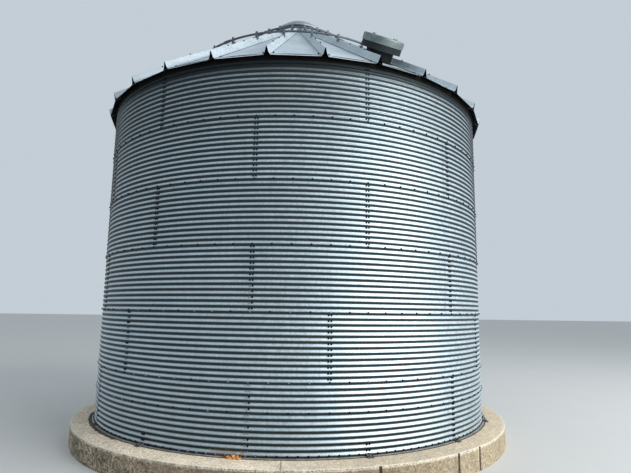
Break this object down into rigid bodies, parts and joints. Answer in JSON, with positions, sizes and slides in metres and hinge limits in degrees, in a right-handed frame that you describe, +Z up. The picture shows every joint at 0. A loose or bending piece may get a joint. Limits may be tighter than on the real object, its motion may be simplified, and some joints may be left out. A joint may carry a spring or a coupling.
{
  "type": "corrugated steel grain silo",
  "caption": "Round corrugated steel grain silo with a ribbed conical roof, roof hoops, mushroom vent and capped peak, bolted to a concrete pad.",
  "frame": {"origin": "on the silo's axis, at the lowest ground beside the concrete pad", "axes": "+Z up; the side seen in the picture faces -Y, with +X to the right"},
  "size_m": [7.08, 7.08, 7.58],
  "materials": {
    "wall_steel": "weathered galvanised, faint spangle, grey-blue",
    "roof_steel": "weathered galvanised, pale",
    "trim_steel": "dull galvanised",
    "hoop_steel": "dull dark grey",
    "concrete": "weathered cast concrete, cream-tan"
  },
  "bodies": {
    "root": {"concrete_pad": "concrete", "base_angle": "trim_steel", "wall_ring_1_sheets_1_2": "wall_steel", "wall_ring_1_sheets_3_4": "wall_steel", "wall_ring_1_sheets_5_6": "wall_steel", "wall_ring_1_sheet_7": "wall_steel", "wall_ring_2_sheets_1_2": "wall_steel", "wall_ring_2_sheets_3_4": "wall_steel", "wall_ring_2_sheets_5_6": "wall_steel", "wall_ring_2_sheet_7": "wall_steel", "wall_ring_3_sheets_1_2": "wall_steel", "wall_ring_3_sheets_3_4": "wall_steel", "wall_ring_3_sheets_5_6": "wall_steel", "wall_ring_3_sheet_7": "wall_steel", "wall_ring_4_sheets_1_2": "wall_steel", "wall_ring_4_sheets_3_4": "wall_steel", "wall_ring_4_sheets_5_6": "wall_steel", "wall_ring_4_sheet_7": "wall_steel", "wall_ring_5_sheets_1_2": "wall_steel", "wall_ring_5_sheets_3_4": "wall_steel", "wall_ring_5_sheets_5_6": "wall_steel", "wall_ring_5_sheet_7": "wall_steel", "wall_ring_6_sheets_1_2": "wall_steel", "wall_ring_6_sheets_3_4": "wall_steel", "wall_ring_6_sheets_5_6": "wall_steel", "wall_ring_6_sheet_7": "wall_steel", "roof_panels_1": "roof_steel", "roof_panels_2": "roof_steel", "roof_panels_3": "roof_steel", "roof_panels_4": "roof_steel", "roof_panels_5": "roof_steel", "roof_panels_6": "roof_steel", "roof_panels_7": "roof_steel", "roof_panels_8": "roof_steel", "roof_panels_9": "roof_steel", "roof_panels_10": "roof_steel", "roof_panels_11": "roof_steel", "roof_panels_12": "roof_steel", "roof_panels_13": "roof_steel", "roof_panels_14": "roof_steel", "peak_collar": "trim_steel", "peak_cap": "roof_steel", "lower_roof_hoop": "hoop_steel", "upper_roof_hoop": "hoop_steel", "vent_neck": "trim_steel", "vent_cap": "trim_steel"}
  },
  "joints": []
}
